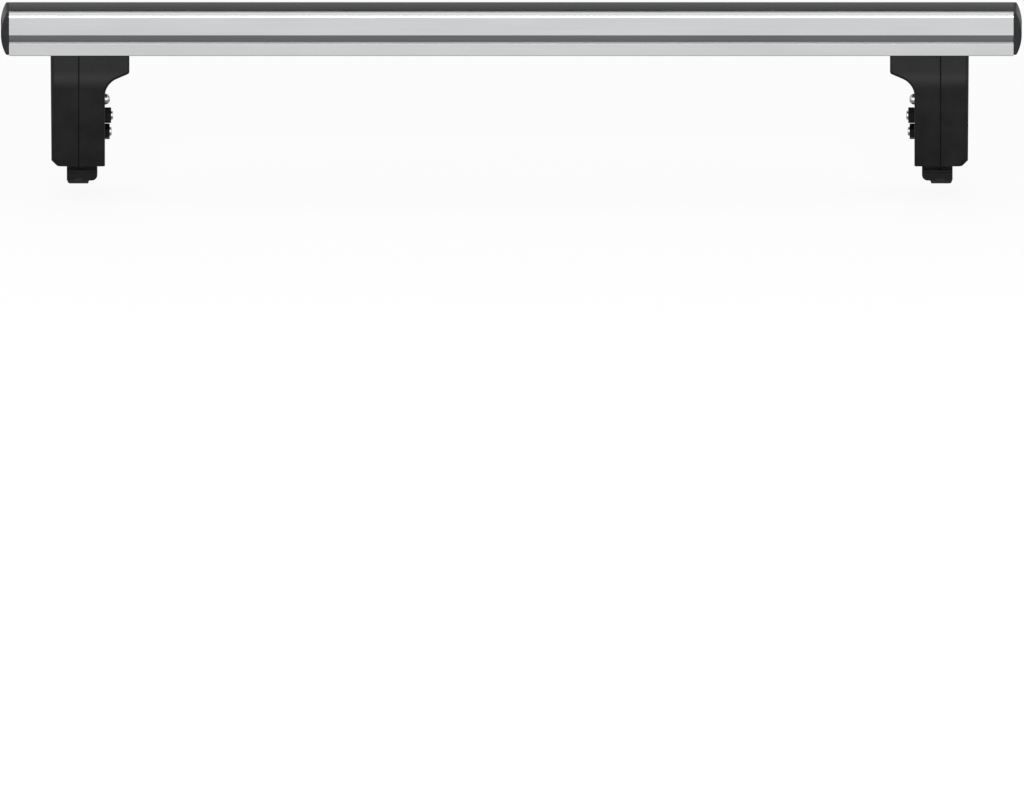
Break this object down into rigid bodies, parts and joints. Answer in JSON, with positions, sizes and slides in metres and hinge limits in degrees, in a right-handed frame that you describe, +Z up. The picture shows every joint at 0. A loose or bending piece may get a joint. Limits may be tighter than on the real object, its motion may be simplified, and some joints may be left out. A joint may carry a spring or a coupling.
{
  "type": "roof rack crossbar",
  "caption": "Square aluminium roof bar with a grooved flank, rubber top strip and domed end caps, on black tower feet that slide along it and clamp height-adjustable claws.",
  "frame": {"origin": "on the ground, midway between the ends of the bar and between its flanks, level with the undersides of both soles", "axes": "+X along the bar, from the end at the left of the picture to the other; -Y out of the flank that the picture shows; +Z up"},
  "size_m": [1.1486, 0.056, 0.2039],
  "materials": {
    "anodised_aluminium": "satin anodised, drawn along the bar",
    "rubber": "matt black rubber",
    "cap_plastic": "fine-grained dark grey plastic",
    "tower_plastic": "fine-grained black reinforced plastic",
    "black_steel": "black coated steel",
    "zinc_steel": "bright zinc plated"
  },
  "bodies": {
    "bar": {"bar_profile": "anodised_aluminium", "top_strip": "rubber", "end_cap_left": "cap_plastic", "end_cap_right": "cap_plastic", "cap_screw_left": "zinc_steel", "cap_screw_right": "zinc_steel"},
    "left_foot": {"tower_outer_left": "tower_plastic", "tower_inner_left": "tower_plastic", "saddle_pad_left": "rubber", "clamp_bolts_left": "zinc_steel", "joining_screw_left": "zinc_steel", "joining_washer_left": "zinc_steel", "slot_nut_left": "zinc_steel", "bar_washers_left": "zinc_steel", "bar_bolts_left": "zinc_steel"},
    "left_claw": {"claw_left": "black_steel", "claw_sole_left": "rubber"},
    "left_upper_nut": {"upper_clamp_nut_left": "black_steel"},
    "left_lower_nut": {"lower_clamp_nut_left": "black_steel"},
    "right_foot": {"tower_outer_right": "tower_plastic", "tower_inner_right": "tower_plastic", "saddle_pad_right": "rubber", "clamp_bolts_right": "zinc_steel", "joining_screw_right": "zinc_steel", "joining_washer_right": "zinc_steel", "slot_nut_right": "zinc_steel", "bar_washers_right": "zinc_steel", "bar_bolts_right": "zinc_steel"},
    "right_claw": {"claw_right": "black_steel", "claw_sole_right": "rubber"},
    "right_upper_nut": {"upper_clamp_nut_right": "black_steel"},
    "right_lower_nut": {"lower_clamp_nut_right": "black_steel"}
  },
  "joints": [
    {"name": "left_foot_slide", "type": "slide", "parent": "bar", "child": "left_foot", "axis": [1, 0, 0], "range_m": [-0.045, 0.4]},
    {"name": "left_claw_slide", "type": "slide", "parent": "left_foot", "child": "left_claw", "axis": [0, 0, -1], "range_m": [-0.0053, 0.02]},
    {"name": "left_upper_nut_turn", "type": "hinge", "parent": "left_foot", "child": "left_upper_nut", "pos_m": [-0.4536, 0, 0.0727], "axis": [1, 0, 0], "continuous": true},
    {"name": "left_lower_nut_turn", "type": "hinge", "parent": "left_foot", "child": "left_lower_nut", "pos_m": [-0.4544, 0, 0.0538], "axis": [1, 0, 0], "continuous": true},
    {"name": "right_foot_slide", "type": "slide", "parent": "bar", "child": "right_foot", "axis": [-1, 0, 0], "range_m": [-0.0486, 0.3964]},
    {"name": "right_claw_slide", "type": "slide", "parent": "right_foot", "child": "right_claw", "axis": [0, 0, -1], "range_m": [-0.0053, 0.02]},
    {"name": "right_upper_nut_turn", "type": "hinge", "parent": "right_foot", "child": "right_upper_nut", "pos_m": [0.45, 0, 0.0727], "axis": [-1, 0, 0], "continuous": true},
    {"name": "right_lower_nut_turn", "type": "hinge", "parent": "right_foot", "child": "right_lower_nut", "pos_m": [0.4508, 0, 0.0538], "axis": [-1, 0, 0], "continuous": true}
  ]
}
